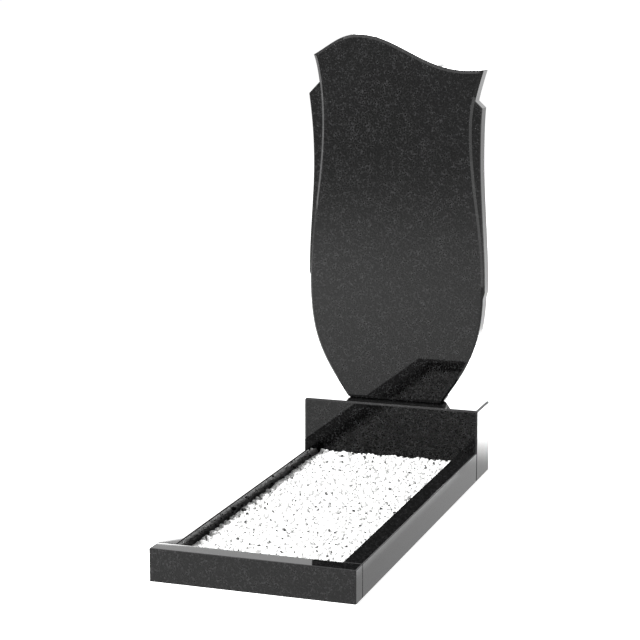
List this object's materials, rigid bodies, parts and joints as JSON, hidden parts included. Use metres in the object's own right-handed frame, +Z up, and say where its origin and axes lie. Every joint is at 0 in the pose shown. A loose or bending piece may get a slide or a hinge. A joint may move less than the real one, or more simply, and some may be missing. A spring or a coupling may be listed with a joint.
{
  "type": "headstone",
  "caption": "Headstone with a kerb set: a polished dark stele with a waved top on a plinth, and a stone frame filled with white marble chips.",
  "frame": {"origin": "on the ground, at the middle of the set's footprint", "axes": "+Z up, the front of the headstone and the front kerb face -Y, +X is to the right as seen from the front"},
  "size_m": [0.505, 1.21, 1.208],
  "materials": {
    "polished_granite": "sawn and polished near-black granite with a fine grey fleck",
    "marble_chips": "crushed white marble, dry and matt"
  },
  "bodies": {
    "root": {"stele": "polished_granite", "plinth": "polished_granite", "front_kerb": "polished_granite", "left_kerb": "polished_granite", "right_kerb": "polished_granite", "marble_chips": "marble_chips"}
  },
  "joints": []
}
